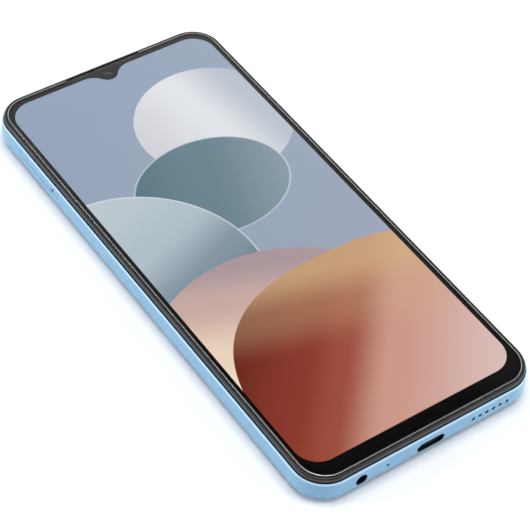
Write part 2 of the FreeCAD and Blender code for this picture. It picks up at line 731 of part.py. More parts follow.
def earpiece():
    receiver = block("earpiece_receiver")
    vent = rectangle(sketch(receiver, "receiver_high"), "8.5", "78.8", "6", "0.6", "0.2")
    pocket(receiver, vent, "0.6")
    keep(receiver)
    keep(block("earpiece_mesh"))
    keep(block("light_sensor"))


# ---------------------------------------------------------------- vibration motor

def vibration_motor():
    x, y = "motor_x", "motor_y"
    plate = rod(x, y, "5.15", "motor_radius", "0.4")
    shaft = rod(x, y, "2.7", "0.4", "2.6")
    keep(joined([plate, shaft]), "vibration_base")
    outer = rod(x, y, "2.25", "motor_radius", "2.9")
    inner = rod(x, y, "2.45", "motor_radius - 0.2", "3")
    keep(cut(outer, [inner]), "vibration_can")
    body = new_body("vibration_rotor")
    pad(body, circle(sketch(body, "2.95"), x, y, "rotor_radius"), "1.7")
    waste = sketch(body, "4.65")
    rectangle(waste, x, y + " - 2.8", "8", "3.6")
    pocket(body, waste, "2")
    pocket(body, circle(sketch(body, "4.65"), x, y, "0.45"), "2")
    keep(body)


# ---------------------------------------------------------------- cameras

def front_camera():
    base = box(around("0", "2.7"), around("front_lens_y - 0.1", "2.6"), ("board_high", "receiver_high"))
    barrel = rod("0", "front_lens_y", "6.6", "2.3", "1.9")
    bore = rod("0", "front_lens_y", "7.6", "1.9", "2")
    keep(cut(joined([base, barrel]), [bore]), "front_camera")
    keep(rod("0", "front_lens_y", "7.62", "1.85", "0.8"), "front_camera_lens")


def rear_cameras():
    housing = box(around("lens_x", "4.8"), around("main_lens_y", "4.8"), ("2.0", "6.5"))
    bore = rod("lens_x", "main_lens_y", "1.5", "3.3", "3.6")
    keep(cut(housing, [bore]), "main_camera")
    barrel = rod("lens_x", "main_lens_y", "1.85", "3.2", "2.9")
    front = rod("lens_x", "main_lens_y", "1.0", "2.0", "1.15")
    keep(cut(barrel, [front]), "main_lens_barrel")
    for label, lens_y, half, radius, depth in (("wide_camera", "wide_lens_y", "4.0", "3.2", "6.2"),
                                               ("macro_camera", "macro_lens_y", "3.0", "2.0", "5.0")):
        low_box = box(around("lens_x", half), around(lens_y, half), ("2.4", depth))
        tube = rod("lens_x", lens_y, "0.9", radius, "1.6")
        hollow = rod("lens_x", lens_y, "0.5", radius + " - 1.2", "0.8")
        keep(cut(joined([low_box, tube]), [hollow]), label)
    led = box(around("flash_x", "1.5"), around("main_lens_y", "1.5"), ("1.9", "board_low"))
    keep(led, "flash_led")


# ---------------------------------------------------------------- keys

def side_key(label, middle, length, nubs):
    """A key cap that passes through the wall, with a flange behind it and a nub per switch."""
    body = new_body(label)
    flange = sketch(body, "key_flange", "YZ_Plane")
    rectangle(flange, middle, "button_z", length + " + 2.0", "3.2", "0.6")
    pad(body, flange, "0.75")
    cap = sketch(body, "key_flange + 0.7", "YZ_Plane")
    rectangle(cap, middle, "button_z", length, "button_height", "0.6")
    pad(body, cap, "body_width/2 + button_out - key_flange - 0.7")
    outer = value("body_width/2 + button_out")
    round_edges(body, lambda edge: all(abs(vertex.X - outer) < TINY for vertex in edge.Vertexes),
                "0.35")
    tips = sketch(body, "key_flange + 0.1", "YZ_Plane")
    for spot in nubs:
        circle(tips, spot, "button_z", "0.6")
    pad(body, tips, "0.85", reverse=True)
    keep(body)


def side_keys():
    switches = ["power_y", "rocker_y - rocker_reach", "rocker_y + rocker_reach"]
    side_key("power_button", "power_y", "power_length", switches[:1])
    side_key("volume_rocker", "rocker_y", "rocker_length", switches[1:])
    domes = [rod("key_switch", spot, "button_z", "1.6", "0.3", "X") for spot in switches]
    keep(group(domes), "key_domes")
    keep(box(("key_switch - 0.15", "key_switch"), ("6", "56"), ("3.8", "6.2")), "side_key_flex")
    keep(box(("key_switch - 0.55", "key_switch - 0.15"), ("5", "57"), ("3.6", "6.5")), "side_key_bracket")


# ---------------------------------------------------------------- card tray and reader

def card_spots():
    """Middle and size (along x, along y) of each card in the tray."""
    return (("-30", "8.8", "12.3"), ("-20", "8.8", "12.3"), ("-7", "15", "11"))


def sim_tray():
    left = "-body_width/2"
    cap = new_body("sim_tray")
    face = sketch(cap, left, "YZ_Plane")
    rectangle(face, "tray_y", "tray_z", "tray_length", "tray_height", "0.45")
    pad(cap, face, "0.6")
    outer = value(left)
    round_edges(cap, lambda edge: all(abs(vertex.X - outer) < TINY for vertex in edge.Vertexes),
                "0.12")
    neck = sketch(cap, left + " + 0.6", "YZ_Plane")
    rectangle(neck, "tray_y", "tray_z", "tray_length - 1.2", "tray_height - 0.8", "0.2")
    pad(cap, neck, "0.6")
    plate = sketch(cap, "card_plate")
    rectangle(plate, "(-36.3 + 1.6)/2", "card_y", "37.9", "16")
    pad(cap, plate, "card_bed - card_plate")
    beds = sketch(cap, "card_bed")
    floors = sketch(cap, "card_bed")
    for x, width, length in card_spots():
        rectangle(beds, x, "card_y", width + " + 0.1", length + " + 0.1")
        rectangle(floors, x, "card_y", width + " - 2", length + " - 2", "0.5")
    pocket(cap, beds, "0.7")
    pocket(cap, floors, "1.2")
    pin = circle(sketch(cap, left, "YZ_Plane"), "pin_y", "pin_z", "pin_hole")
    pocket(cap, pin, "1.3", reverse=True)
    keep(cap)


def tray_seal():
    body = new_body("sim_tray_seal")
    ring = sketch(body, "-body_width/2 + 0.62", "YZ_Plane")
    rectangle(ring, "tray_y", "tray_z", "tray_length + 0.06", "tray_height + 0.06", "0.45")
    pad(body, ring, "0.5")
    hole = sketch(body, "-body_width/2 + 1.3", "YZ_Plane")
    rectangle(hole, "tray_y", "tray_z", "tray_length - 1.18", "tray_height - 0.78", "0.2")
    pocket(body, hole, "1")
    keep(body)


def cards():
    solids = []
    for x, width, length in card_spots():
        solids.append(box(around(x, width + "/2"), around("card_y", length + "/2"),
                          ("card_bed - 0.69", "card_bed - 0.02")))
    keep(group(solids[:2]), "sim_cards")
    keep(solids[2], "memory_card")


def card_reader():
    base = new_body("card_reader_base")
    floor = sketch(base, "board_high")
    rectangle(floor, "(reader_left + reader_right - 0.3)/2", "(reader_low_y + reader_high_y)/2",
              "reader_right - reader_left - 0.3", "reader_high_y - reader_low_y - 0.6")
    pad(base, floor, "contact_low - board_high")
    contacts = sketch(base, "contact_low")
    for x, width, length in card_spots():
        for row in (-1, 1):
            for column in (-2.5, 0, 2.5):
                spot = ("%s + %s" % (x, row * 1.8), "card_y + %s" % column)
                rectangle(contacts, spot[0], spot[1], "1.2", "0.6")
    pad(base, contacts, "0.15")
    pad(base, circle(sketch(base, "contact_low"), "lever_x", "lever_y", "0.6"), "1.15")
    keep(base)
    outer = box(("reader_left", "reader_right"), ("reader_low_y", "reader_high_y"),
                ("board_high", "reader_top"))
    inner = box(("reader_left - 1", "reader_right - 0.2"),
                ("reader_low_y + 0.2", "reader_high_y - 0.2"), ("board_high - 1", "reader_top - 0.2"))
    keep(cut(outer, [inner]), "card_reader_shell")


def ejector():
    keep(rod("-36", "pin_y", "pin_z", "0.45", "38.9", "X"), "eject_rod")
    bar = box(around("lever_x", "0.6"), around("lever_y", "9.1"),
              ("lever_low", "lever_low + lever_thick"))
    eye = rod("lever_x", "lever_y", "lever_low", "1.3", "lever_thick")
    bore = rod("lever_x", "lever_y", "lever_low - 0.3", "0.66", "2")
    keep(cut(joined([bar, eye]), [bore]), "eject_lever")


# ---------------------------------------------------------------- covers and screws

def screw_cover(body, level, board_level):
    """Bosses up to the board, with a counterbore and a hole for each screw."""
    bosses, heads, shanks = [sketch(body, "cover_low") for _ in range(3)]
    for (x, y), low in screw_places():
        if low == level:
            circle(bosses, x, y, "cover_boss")
            circle(heads, x, y, "screw_head + 0.1")
            circle(shanks, x, y, "screw_shank + 0.1")
    pad(body, bosses, "%s - cover_low" % board_level)
    pocket(body, heads, "%s + screw_head_height - cover_low" % screw_base(level), reverse=True)
    pocket(body, shanks, "%s - cover_low + 0.2" % board_level, reverse=True)


def covers():
    upper = block("upper_cover")
    screw_cover(upper, "board_high", "board_low")
    keep(upper)
    lower = block("lower_cover")
    screw_cover(lower, "sub_high", "sub_low")
    keep(lower)


def screws():
    made = []
    for (x, y), low in screw_places():
        base = screw_base(low)
        head = rod(x, y, base, "screw_head", "screw_head_height")
        shank = rod(x, y, base + " + screw_head_height", "screw_shank", "screw_length")
        cross = [box(around(x, "0.8"), around(y, "0.13"), (base + " - 1", base + " + 0.3")),
                 box(around(x, "0.13"), around(y, "0.8"), (base + " - 1", base + " + 0.3"))]
        made.append(cut(joined([head, shank]), cross))
    keep(group(made), "screws")


# ---------------------------------------------------------------- whole phone

def build():
    for step in (rear_housing, camera_island, lens_windows, flash_window, mid_frame,
                 cover_glass, display_adhesive, display_stack, display_flex,
                 main_board, sub_board, shields, chips, battery, link_flex, coax_cable,
                 usb_port, audio_jack, microphone, speaker, earpiece, vibration_motor,
                 front_camera, rear_cameras, side_keys, sim_tray, tray_seal, cards,
                 card_reader, ejector, covers, screws):
        step()
    doc.recompute()


def check():
    """Stop if any object failed or any sub-part is empty or broken."""
    faults = []
    for item in doc.Objects:
        if "Invalid" in item.State or "Error" in item.State:
            faults.append("%s state %s" % (item.Label, item.State))
    for item in sub_parts:
        if item.Shape.isNull() or not item.Shape.isValid() or item.Shape.Volume <= 0:
            faults.append("%s has no valid shape" % item.Label)
    if faults:
        raise RuntimeError("; ".join(faults))


def export():
    os.makedirs(OUTPUT_FOLDER, exist_ok=True)
    for old in os.listdir(OUTPUT_FOLDER):
        os.remove(os.path.join(OUTPUT_FOLDER, old))
    for item in sub_parts:
        item.Shape.exportStep(os.path.join(OUTPUT_FOLDER, item.Label + ".step"))
        bounds = item.Shape.BoundBox
        print("%-20s %2d solids  x %.2f..%.2f  y %.2f..%.2f  z %.2f..%.2f" % (
            item.Label, len(item.Shape.Solids), bounds.XMin, bounds.XMax,
            bounds.YMin, bounds.YMax, bounds.ZMin, bounds.ZMax))


build()
check()
export()
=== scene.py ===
"""Studio picture of the smartphone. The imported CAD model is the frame, and everything is in metres."""

import json
import math

import bmesh
import bpy
from mathutils import Matrix, Vector
from mathutils.geometry import tessellate_polygon


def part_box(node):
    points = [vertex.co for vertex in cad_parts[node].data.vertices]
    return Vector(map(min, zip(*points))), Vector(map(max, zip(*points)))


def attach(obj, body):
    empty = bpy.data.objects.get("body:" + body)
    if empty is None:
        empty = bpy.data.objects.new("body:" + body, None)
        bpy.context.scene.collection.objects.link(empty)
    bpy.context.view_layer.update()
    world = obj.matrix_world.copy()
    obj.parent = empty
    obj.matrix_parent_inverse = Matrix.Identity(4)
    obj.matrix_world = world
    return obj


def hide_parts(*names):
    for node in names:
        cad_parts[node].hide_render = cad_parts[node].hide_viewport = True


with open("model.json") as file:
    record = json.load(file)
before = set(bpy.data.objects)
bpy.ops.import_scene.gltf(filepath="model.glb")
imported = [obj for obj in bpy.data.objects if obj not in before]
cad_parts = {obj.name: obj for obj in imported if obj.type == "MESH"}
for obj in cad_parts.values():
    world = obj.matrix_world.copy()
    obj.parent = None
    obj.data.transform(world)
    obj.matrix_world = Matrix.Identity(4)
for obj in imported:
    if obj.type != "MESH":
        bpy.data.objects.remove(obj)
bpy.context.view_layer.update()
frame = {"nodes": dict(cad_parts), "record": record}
nodes = frame["nodes"]
scene = bpy.context.scene

MM = 0.001
ARC_STEPS = 24
PHONE = "phone"

# places that follow from the CAD nodes
GLASS_LOW, GLASS_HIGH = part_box("cover_glass")
PANEL_LOW, PANEL_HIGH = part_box("lcd_cell")
LENS_LOW, LENS_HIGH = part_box("front_camera_lens")
FRONT_LENS = (LENS_LOW + LENS_HIGH) / 2

# the cover glass: its corners, and the painted highlight line near its rounded edge, measured in from
# the outline
GLASS_CORNER = 7.92 * MM
EDGE_HIGHLIGHT_INSET = 0.36 * MM
EDGE_HIGHLIGHT_WIDTH = 0.25 * MM

# the lit part of the display, and the drop-shaped notch at its top
ACTIVE_HALF_X = 34.185 * MM
ACTIVE_LOW_Y = -75.11 * MM
ACTIVE_HIGH_Y = 77.96 * MM
ACTIVE_CORNER = 7.1 * MM
DROP_RADIUS = 3.3 * MM
DROP_Y = 77.35 * MM
DROP_FLARE = 6.0 * MM
ACTIVE_MIDDLE = Vector((0.0, (ACTIVE_LOW_Y + ACTIVE_HIGH_Y) / 2, 0.0))

# the housing's outer skin: how deep the blue goes there and on the lip before the painted shade starts,
# and how tall the lip's painted highlight is
HOUSING_CORNER = 9.5 * MM
BACK_ROUND = 2.0 * MM
SHADE_DEPTH = 0.15 * MM
LIP_SHADE_DEPTH = 0.42 * MM
LIP_FOOT = 6.9 * MM
LIP_HIGHLIGHT = 0.50 * MM

# pearl flakes in the paint: how fine, how rare and how strong
FLAKE_SCALE = 9000.0
FLAKE_RARITY = 0.93
FLAKE_STRENGTH = 0.35

# the camera plate's lens rings lie below this level
RING_FOOT = 0.24 * MM

# contacts on the connector's tongue
CONTACT_COUNT = 12
CONTACT_PITCH = 0.5 * MM
CONTACT_WIDTH = 0.26 * MM
CONTACT_THICKNESS = 0.02 * MM
CONTACT_SETBACK = 0.35 * MM
CONTACT_LENGTH = 3.9 * MM
TONGUE_HALF = 0.35 * MM

# thin layers between the panel and the glass, and the openings in the printed border
PRINT_GAP = 0.004 * MM
PRINT_THICKNESS = 0.010 * MM
PICTURE_THICKNESS = 0.010 * MM
PICTURE_MARGIN = 0.15 * MM
PANEL_CORNER = 7.7 * MM
PANEL_NOTCH = 2.9 * MM
BORDER_INSET = 0.06 * MM
LENS_OPENING = 1.75 * MM
SLOT_MARGIN = 0.1 * MM
SLOT_CORNER = 0.25 * MM

# stepped rings inside the main lens barrel, and the domes of both lenses
BARREL_RINGS = 5
RING_SHARE = 0.5
RING_FLAT = 0.35
RING_DROP = 0.09 * MM
RING_SLANT = 0.02 * MM
BARREL_FLOOR = 0.3 * MM
DOME_FOOT = 0.28 * MM
DOME_SPRING = 0.2 * MM
DOME_RISE = 0.55
DOME_FIT = 0.985
DOME_SHARE = 0.98
DOME_STEPS = 16
CROWN_HEIGHT = 0.25 * MM
CROWN_SHARE = 0.9
CROWN_STEPS = 12


def srgb(red, green, blue):
    """Linear colour from the usual 0 to 255 values."""
    def linear(channel):
        part = channel / 255
        return part / 12.92 if part <= 0.04045 else ((part + 0.055) / 1.055) ** 2.4
    return (linear(red), linear(green), linear(blue), 1.0)


# ---------------------------------------------------------------- outlines and meshes

def arc(centre, radius, start, end, steps=ARC_STEPS):
    """Points of an arc, from start to end in degrees."""
    points = []
    for step in range(steps + 1):
        angle = math.radians(start + (end - start) * step / steps)
        points.append(Vector((centre[0] + radius * math.cos(angle),
                              centre[1] + radius * math.sin(angle), 0.0)))
    return points


def rounded(low, high, corner, steps=ARC_STEPS):
    """Outline of an upright rectangle with round corners, anticlockwise."""
    points = []
    spots = ((high[0] - corner, low[1] + corner, -90), (high[0] - corner, high[1] - corner, 0),
             (low[0] + corner, high[1] - corner, 90), (low[0] + corner, low[1] + corner, 180))
    for x, y, start in spots:
        points += arc((x, y), corner, start, start + 90, steps)
    return points


def circle_outline(centre, radius, steps=64):
    return arc(centre, radius, 0, 360 - 360 / steps, steps - 1)


def active_outline(grow=0.0):
    """The lit area: round corners, and a drop-shaped notch with flared shoulders at the top."""
    corner = ACTIVE_CORNER + grow
    low = Vector((-ACTIVE_HALF_X - grow, ACTIVE_LOW_Y - grow, 0))
    high = Vector((ACTIVE_HALF_X + grow, ACTIVE_HIGH_Y + grow, 0))
    drop = DROP_RADIUS - grow
    flare = DROP_FLARE + grow
    flare_y = high.y - flare
    flare_x = math.sqrt((drop + flare) ** 2 - (flare_y - DROP_Y) ** 2)
    tilt = math.degrees(math.atan2(DROP_Y - flare_y, flare_x))
    points = arc((high.x - corner, low.y + corner), corner, -90, 0)
    points += arc((high.x - corner, high.y - corner), corner, 0, 90)
    points += arc((flare_x, flare_y), flare, 90, 180 - tilt)
    points += arc((0, DROP_Y), drop, -tilt, -180 + tilt, 2 * ARC_STEPS)
    points += arc((-flare_x, flare_y), flare, tilt, 90)
    points += arc((low.x + corner, high.y - corner), corner, 90, 180)
    points += arc((low.x + corner, low.y + corner), corner, 180, 270)
    return points


def plate_mesh(name, outer, holes, low, high):
    """A closed plate from z = low to z = high with the given outline and holes."""
    loops = [outer] + list(holes)
    flat = [point for loop in loops for point in loop]
    triangles = tessellate_polygon([[Vector((p.x, p.y, 0)) for p in loop] for loop in loops])
    mesh = bpy.data.meshes.new(name)
    shape = bmesh.new()
    bottom = [shape.verts.new((p.x, p.y, low)) for p in flat]
    top = [shape.verts.new((p.x, p.y, high)) for p in flat]
    for first, second, third in triangles:
        for layer in (top, bottom):
            shape.faces.new((layer[first], layer[second], layer[third]))
    start = 0
    for loop in loops:
        count = len(loop)
        for index in range(count):
            here, following = start + index, start + (index + 1) % count
            shape.faces.new((bottom[here], bottom[following], top[following], top[here]))
        start += count
    bmesh.ops.recalc_face_normals(shape, faces=shape.faces)
    shape.to_mesh(mesh)
    shape.free()
    return mesh


def lathe_mesh(name, profile, centre, steps=96):
    """A turned shape about an upright axis through centre. profile is (radius, z), bottom to top."""
    mesh = bpy.data.meshes.new(name)
    shape = bmesh.new()
    rings = []
    for radius, z in profile:
        if radius < 1e-9:
            rings.append([shape.verts.new((centre[0], centre[1], z))])
            continue
        ring = []
        for step in range(steps):
            angle = 2 * math.pi * step / steps
            ring.append(shape.verts.new((centre[0] + radius * math.cos(angle),
                                         centre[1] + radius * math.sin(angle), z)))
        rings.append(ring)
    for below, above in zip(rings, rings[1:]):
        for step in range(steps):
            following = (step + 1) % steps
            corners = [below[step % len(below)], below[following % len(below)],
                       above[following % len(above)], above[step % len(above)]]
            unique = list(dict.fromkeys(corners))
            if len(unique) > 2:
                shape.faces.new(unique)
    bmesh.ops.recalc_face_normals(shape, faces=shape.faces)
    shape.to_mesh(mesh)
    shape.free()
    return mesh


def piece(name, mesh, material, body=PHONE, replaced=(), smooth=None):
    """Put a mesh in the scene as a piece of the phone."""
    thing = bpy.data.objects.new(name, mesh)
    scene.collection.objects.link(thing)
    mesh.materials.append(material)
    if smooth is not None:
        mesh.shade_smooth()
        mesh.set_sharp_from_angle(angle=math.radians(smooth))
    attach(thing, body)
    if replaced:
        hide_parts(*replaced)


# ---------------------------------------------------------------- shader building

class Shader:
    """A node material with short ways to add and join nodes."""

    def __init__(self, name):
        self.material = bpy.data.materials.new(name)
        self.material.use_nodes = True
        self.tree = self.material.node_tree
        self.tree.nodes.clear()
        output = self.tree.nodes.new("ShaderNodeOutputMaterial")
        self.surface = self.tree.nodes.new("ShaderNodeBsdfPrincipled")
        self.tree.links.new(self.surface.outputs[0], output.inputs["Surface"])

    def put(self, node, name, value):
        """Link a socket to a node's input, or set the input to a plain value."""
        if isinstance(value, bpy.types.NodeSocket):
            self.tree.links.new(value, node.inputs[name])
        else:
            node.inputs[name].default_value = value

    def add(self, kind, inputs=None, **settings):
        node = self.tree.nodes.new(kind)
        for name, value in settings.items():
            setattr(node, name, value)
        for name, value in (inputs or {}).items():
            self.put(node, name, value)
        return node

    def set(self, **inputs):
        """Link or set the surface's own inputs, with _ for each space in a name."""
        for name, value in inputs.items():
            self.put(self.surface, name.replace("_", " "), value)

    def place(self):
        return self.add("ShaderNodeTexCoord").outputs["Object"]

    def height(self):
        return self.add("ShaderNodeSeparateXYZ", {0: self.place()}).outputs[2]

    def math(self, operation, first, second=0.0, third=0.0, clamp=False):
        node = self.add("ShaderNodeMath", {0: first, 1: second}, operation=operation,
                        use_clamp=clamp)
        if operation == "MULTIPLY_ADD":
            self.put(node, 2, third)
        return node.outputs[0]

    def vector(self, operation, *inputs, output="Vector"):
        """A vector sum. Lengths, distances and dot products come from the output "Value"."""
        node = self.add("ShaderNodeVectorMath", dict(enumerate(inputs)), operation=operation)
        return node.outputs[output]

    def noise(self, scale, detail=3.0, factors=(1.0, 1.0, 1.0), roughness=0.5):
        """Values about 0.5. A factor under 1 stretches the pattern along that axis."""
        spread = self.add("ShaderNodeMapping", {"Vector": self.place(), "Scale": factors})
        inputs = {"Vector": spread.outputs[0], "Scale": scale, "Detail": detail,
                  "Roughness": roughness}
        return self.add("ShaderNodeTexNoise", inputs).outputs["Fac"]

    def mix(self, factor, first, second):
        node = self.add("ShaderNodeMix", {"Factor": factor}, data_type="RGBA")
        self.put(node, 6, first)
        self.put(node, 7, second)
        return node.outputs[2]

    def span(self, value, low, high):
        """Squeeze a 0 to 1 value to the range from low to high."""
        node = self.add("ShaderNodeMapRange", {"Value": value, "To Min": low, "To Max": high})
        return node.outputs[0]

    def ramp(self, value, stops):
        """A colour from (value, colour) stops, with soft steps between them."""
        node = self.add("ShaderNodeValToRGB", {"Fac": value})
        band = node.color_ramp
        band.interpolation = "EASE"
        while len(band.elements) < len(stops):
            band.elements.new(0.5)
        for element, (position, colour) in zip(band.elements, stops):
            element.position = position
            element.color = colour
        return node.outputs[0]

    def coat(self, weight, roughness):
        self.set(Coat_Weight=weight, Coat_Roughness=roughness)

    def bump(self, height, distance):
        inputs = {"Height": height, "Distance": distance}
        self.put(self.surface, "Normal", self.add("ShaderNodeBump", inputs).outputs[0])


def shaded(colour, factor):
    """The colour made darker or lighter."""
    return tuple(channel * factor for channel in colour[:3]) + (1.0,)


# how much the gloss of a fine surface varies
GLOSS_SPREAD = 0.08


def fine_surface(name, colour, roughness, metallic=0.0, spread=0.12, grain=900.0,
                 bump=0.002 * MM):
    """Moulded or machined stuff: slow colour drift, fine grain in gloss and height."""
    shader = Shader(name)
    drift = shader.noise(60.0, 4.0)
    shader.set(Base_Color=shader.mix(drift, shaded(colour, 1 - spread), shaded(colour, 1 + spread)),
               Metallic=metallic)
    fine = shader.noise(grain, 2.0)
    shader.set(Roughness=shader.span(fine, roughness - GLOSS_SPREAD, roughness + GLOSS_SPREAD))
    if bump:
        shader.bump(fine, bump)
    return shader


# ---------------------------------------------------------------- materials

def past_core(shader, low, high, corner):
    """Distance outward from a rounded rectangle's core, which is what its corner radius leaves."""
    half = (high - low) / 2
    core = Vector((half.x - corner, half.y - corner, 0))
    size = shader.vector("ABSOLUTE", shader.vector("SUBTRACT", shader.place(), (high + low) / 2))
    beyond = shader.vector("MAXIMUM", shader.vector("SUBTRACT", size, core), (0, 0, 0))
    return shader.vector("LENGTH", shader.vector("MULTIPLY", beyond, (1, 1, 0)), output="Value")


def skin_depth(shader, height):
    """How far a place lies below the housing's outer skin, whose back edge is rounded too."""
    low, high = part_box("rear_housing")
    across = shader.math("SUBTRACT", past_core(shader, low, high, HOUSING_CORNER),
                         HOUSING_CORNER - BACK_ROUND)
    across = shader.math("MAXIMUM", across, 0.0)
    down = shader.math("MAXIMUM", shader.math("SUBTRACT", low.z + BACK_ROUND, height), 0.0)
    reach = shader.math("SQRT", shader.math("ADD", shader.math("MULTIPLY", across, across),
                                            shader.math("MULTIPLY", down, down)))
    return shader.math("SUBTRACT", BACK_ROUND, reach)


def housing_paint():
    """Light blue satin paint with fine pearl flakes, and a paler band on the lip's top edge as a painted
    highlight.
    The walls inside the openings and the lip's inner wall are dark blue-black as painted shade."""
    shader = Shader("housing_paint")
    blue = srgb(121, 177, 215)
    drift = shader.noise(25.0, 2.0)
    base = shader.mix(drift, shaded(blue, 0.96), shaded(blue, 1.03))
    flake_inputs = {"Vector": shader.place(), "Scale": FLAKE_SCALE}
    flakes = shader.add("ShaderNodeTexVoronoi", flake_inputs).outputs["Color"]
    shade = shader.add("ShaderNodeSeparateColor", {"Color": flakes}).outputs[0]
    sparkle = shader.math("MULTIPLY", shader.math("GREATER_THAN", shade, FLAKE_RARITY),
                          FLAKE_STRENGTH)
    painted = shader.mix(sparkle, base, srgb(206, 228, 248))

    # painted highlight: the lip's top half millimetre turns a paler blue, standing in for the light its
    # edge catches
    height = shader.height()
    lip_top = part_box("rear_housing")[1].z
    up_lip = shader.math("SUBTRACT", height, lip_top - LIP_HIGHLIGHT)
    lip_highlight = shader.span(shader.math("DIVIDE", up_lip, LIP_HIGHLIGHT / 2), 0.0, 1.0)
    painted = shader.mix(lip_highlight, painted, srgb(186, 224, 250))

    # painted shade: deeper than a set distance under the skin, in the openings and on the lip's inside,
    # the colour turns dark blue-black, standing in for the shade there and for the dark gap under the
    # rim
    on_lip = shader.math("GREATER_THAN", height, LIP_FOOT)
    limit = shader.math("MULTIPLY_ADD", on_lip, LIP_SHADE_DEPTH - SHADE_DEPTH, SHADE_DEPTH)
    painted_shade = shader.math("GREATER_THAN", skin_depth(shader, height), limit)
    shader.set(Base_Color=shader.mix(painted_shade, painted, srgb(14, 24, 38)), Metallic=0.10,
               Roughness=shader.span(shader.noise(700.0), 0.32, 0.42))
    shader.coat(0.30, 0.15)
    shader.bump(shader.noise(1500.0, 2.0), 0.0015 * MM)
    return shader.material


def rim_finish():
    """Dark satin anodised rim."""
    shader = fine_surface("rim_finish", srgb(44, 45, 47), 0.30, metallic=0.35, grain=2500.0,
                          bump=0.001 * MM)
    shader.coat(0.4, 0.18)
    return shader.material


def clear_glass():
    """Hardened cover glass. A pale metallic line where its rounded edge starts is a painted highlight.
    """
    shader = Shader("clear_glass")
    haze = shader.noise(40.0, 5.0)
    # painted highlight: a thin band near the rounded edge turns pale, metallic and rougher, standing in
    # for the glint of the lights on that edge
    away = past_core(shader, GLASS_LOW, GLASS_HIGH, GLASS_CORNER)
    off_line = shader.math("SUBTRACT", shader.math("SUBTRACT", GLASS_CORNER, away), EDGE_HIGHLIGHT_INSET)
    off_line = shader.math("ABSOLUTE", off_line)
    edge_highlight = shader.math("SUBTRACT", 1.0, shader.math("DIVIDE", off_line, EDGE_HIGHLIGHT_WIDTH), clamp=True)
    upper = shader.math("GREATER_THAN", shader.height(), GLASS_HIGH.z - EDGE_HIGHLIGHT_WIDTH)
    edge_highlight = shader.math("MULTIPLY", edge_highlight, upper)
    shader.set(Base_Color=shader.mix(edge_highlight, srgb(250, 252, 253), srgb(238, 235, 232)), IOR=1.50,
               Transmission_Weight=1.0, Metallic=shader.math("MULTIPLY", edge_highlight, 0.8),
               Roughness=shader.math("MULTIPLY_ADD", edge_highlight, 0.30,
                                     shader.span(haze, 0.0, 0.015)))
    return shader.material


def printed_border():
    """The black ink on the underside of the glass."""
    shader = fine_surface("printed_border", srgb(9, 9, 10), 0.7, spread=0.1, grain=3000.0,
                          bump=0.0)
    shader.set(Specular_IOR_Level=0.08)
    return shader.material


def lens_glass():
    """Clear, faintly blue glass of the camera windows."""
    shader = Shader("lens_glass")
    centre_fade = shader.noise(200.0, 2.0)
    shader.set(Base_Color=shader.mix(centre_fade, srgb(205, 215, 235), srgb(225, 232, 245)),
               Roughness=0.02, IOR=1.52, Transmission_Weight=1.0)
    return shader.material


def coated_lens():
    """A dark lens element with a violet and green coating that shifts with the angle."""
    shader = Shader("coated_lens")
    facing = shader.add("ShaderNodeLayerWeight", {"Blend": 0.35}).outputs["Facing"]
    tint = shader.ramp(facing, [(0.0, srgb(10, 12, 26)), (0.45, srgb(34, 22, 66)),
                                (0.75, srgb(22, 60, 78)), (1.0, srgb(90, 110, 140))])
    shader.set(Base_Color=tint, Roughness=0.05, IOR=1.6)
    shader.bump(shader.noise(500.0), 0.0002 * MM)
    return shader.material


def brushed_steel():
    """Pressed sheet steel with a fine grain along X."""
    shader = Shader("brushed_steel")
    steel = srgb(186, 188, 190)
    streaks = shader.noise(800.0, 4.0, factors=(0.06, 1.0, 1.0))
    shader.set(Base_Color=shader.mix(streaks, shaded(steel, 0.86), shaded(steel, 1.08)),
               Metallic=1.0, Roughness=shader.span(streaks, 0.23, 0.38))
    shader.bump(streaks, 0.002 * MM)
    return shader.material


def gold_plate():
    """Gold plating on contacts and weights."""
    return fine_surface("gold_plate", srgb(222, 182, 96), 0.22, metallic=1.0, grain=1800.0,
                        bump=0.001 * MM).material


def circuit_board():
    """Green solder mask over copper tracks, with plated holes."""
    shader = Shader("circuit_board")
    green, track, gold = srgb(16, 62, 42), srgb(34, 96, 60), srgb(206, 170, 90)
    cells = shader.add("ShaderNodeTexBrick",
                       {"Vector": shader.place(), "Scale": 220.0, "Mortar Size": 0.018,
                        "Brick Width": 0.9, "Row Height": 0.12, "Color1": green, "Color2": green,
                        "Mortar": track})
    dots = shader.add("ShaderNodeTexVoronoi", {"Vector": shader.place(), "Scale": 420.0})
    holes = shader.math("LESS_THAN", dots.outputs["Distance"], 0.10)
    shader.set(Base_Color=shader.mix(holes, cells.outputs["Color"], gold), Roughness=0.38,
               Metallic=shader.math("MULTIPLY", holes, 0.9))
    shader.bump(cells.outputs["Fac"], 0.01 * MM)
    return shader.material


def chip_epoxy():
    """Dull black moulding compound."""
    return fine_surface("chip_epoxy", srgb(34, 34, 36), 0.62, spread=0.2, grain=4000.0,
                        bump=0.004 * MM).material


def flex_film():
    """Amber film with copper tracks running along it."""
    shader = Shader("flex_film")
    wave = shader.add("ShaderNodeTexWave",
                      {"Vector": shader.place(), "Scale": 300.0, "Distortion": 0.0},
                      bands_direction="X")
    stripes = shader.math("GREATER_THAN", wave.outputs["Fac"], 0.55)
    shader.set(Base_Color=shader.mix(stripes, srgb(150, 92, 34), srgb(214, 140, 62)),
               Roughness=shader.span(shader.noise(500.0), 0.22, 0.34))
    shader.bump(wave.outputs["Fac"], 0.004 * MM)
    return shader.material


def foil_wrap(name, colour):
    """Dark foil with soft creases."""
    shader = Shader(name)
    creases = shader.noise(120.0, 6.0, roughness=0.65)
    shader.set(Base_Color=shader.mix(creases, shaded(colour, 0.8), shaded(colour, 1.2)),
               Metallic=0.3, Roughness=shader.span(creases, 0.32, 0.5))
    shader.bump(creases, 0.02 * MM)
    return shader.material


